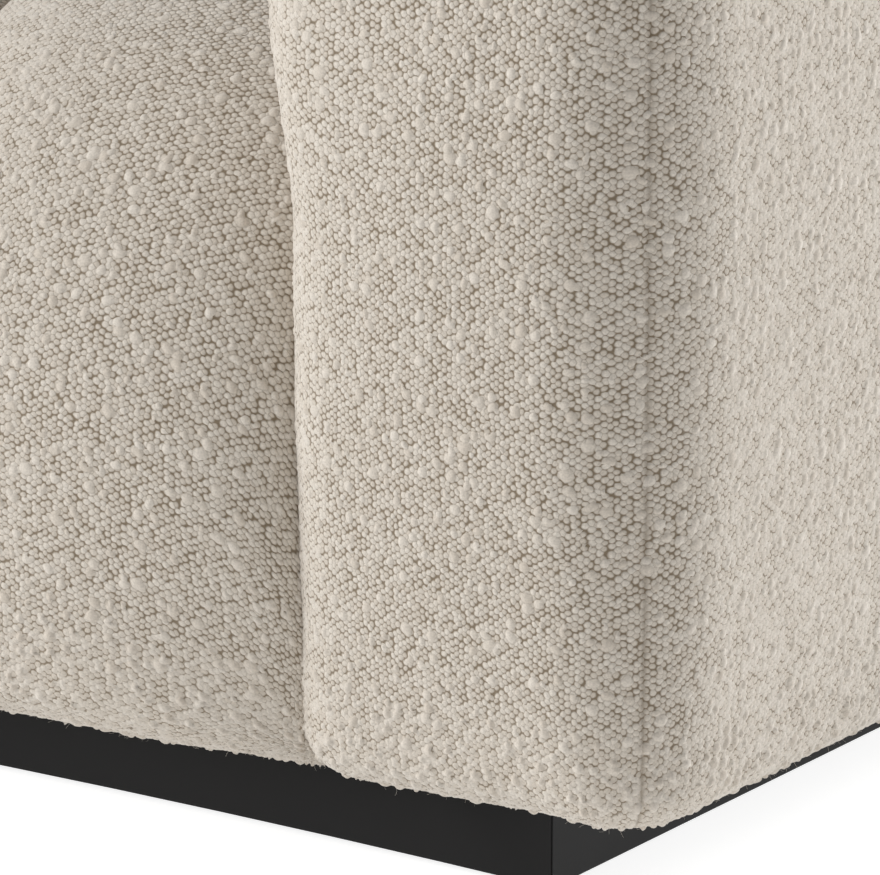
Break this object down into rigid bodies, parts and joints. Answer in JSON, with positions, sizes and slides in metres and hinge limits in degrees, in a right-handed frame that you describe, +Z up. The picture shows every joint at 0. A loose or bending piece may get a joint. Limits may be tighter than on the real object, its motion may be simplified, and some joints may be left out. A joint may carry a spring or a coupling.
{
  "type": "curved sofa",
  "caption": "Gently curved sofa with a channelled, puffed seat and back, padded block arms and a recessed black plinth.",
  "frame": {"origin": "middle of the footprint box, on the floor", "axes": "+X along the sofa to the end on a facing viewer's right, -Y the way the seat faces, +Z up"},
  "size_m": [2.6118, 0.9552, 0.76],
  "materials": {
    "boucle": "cream chunky boucle over foam",
    "black_lacquer": "satin black lacquer on board",
    "timber": "planed softwood, unfinished",
    "fibreboard": "brown hardboard",
    "spring_steel": "drawn spring wire",
    "felt": "needled grey felt",
    "dust_cloth": "black non-woven cloth"
  },
  "bodies": {
    "root": {"plinth_front": "black_lacquer", "plinth_back": "black_lacquer", "plinth_left_end": "black_lacquer", "plinth_right_end": "black_lacquer", "plinth_brace_1": "black_lacquer", "plinth_brace_2": "black_lacquer", "glide_front_1": "felt", "glide_front_2": "felt", "glide_front_3": "felt", "glide_back_1": "felt", "glide_back_2": "felt", "glide_back_3": "felt", "deck_pad": "felt", "dust_cover": "dust_cloth", "seat_front_rail": "timber", "seat_back_rail": "timber", "seat_left_rail": "timber", "seat_right_rail": "timber", "seat_bearer_1": "timber", "seat_bearer_2": "timber", "back_post_1": "timber", "back_post_2": "timber", "back_post_3": "timber", "back_top_rail": "timber", "seat_spring_1": "spring_steel", "seat_spring_2": "spring_steel", "seat_spring_3": "spring_steel", "seat_spring_4": "spring_steel", "seat_spring_5": "spring_steel", "seat_spring_6": "spring_steel", "seat_spring_7": "spring_steel", "seat_spring_8": "spring_steel", "seat_spring_9": "spring_steel", "seat_spring_10": "spring_steel", "back_support_panel": "fibreboard", "arm_left_front_post": "timber", "arm_left_rear_post": "timber", "arm_left_top_rail": "timber", "arm_left_inner_panel": "fibreboard", "arm_left_outer_panel": "fibreboard", "arm_left_padding": "boucle", "arm_right_front_post": "timber", "arm_right_rear_post": "timber", "arm_right_top_rail": "timber", "arm_right_inner_panel": "fibreboard", "arm_right_outer_panel": "fibreboard", "arm_right_padding": "boucle", "seat_channel_1": "boucle", "seat_channel_2": "boucle", "seat_channel_3": "boucle", "seat_channel_4": "boucle", "seat_channel_5": "boucle", "seat_channel_6": "boucle", "back_channel_1": "boucle", "back_channel_2": "boucle", "back_channel_3": "boucle", "back_channel_4": "boucle", "back_channel_5": "boucle", "back_channel_6": "boucle", "outside_back": "boucle"}
  },
  "joints": []
}
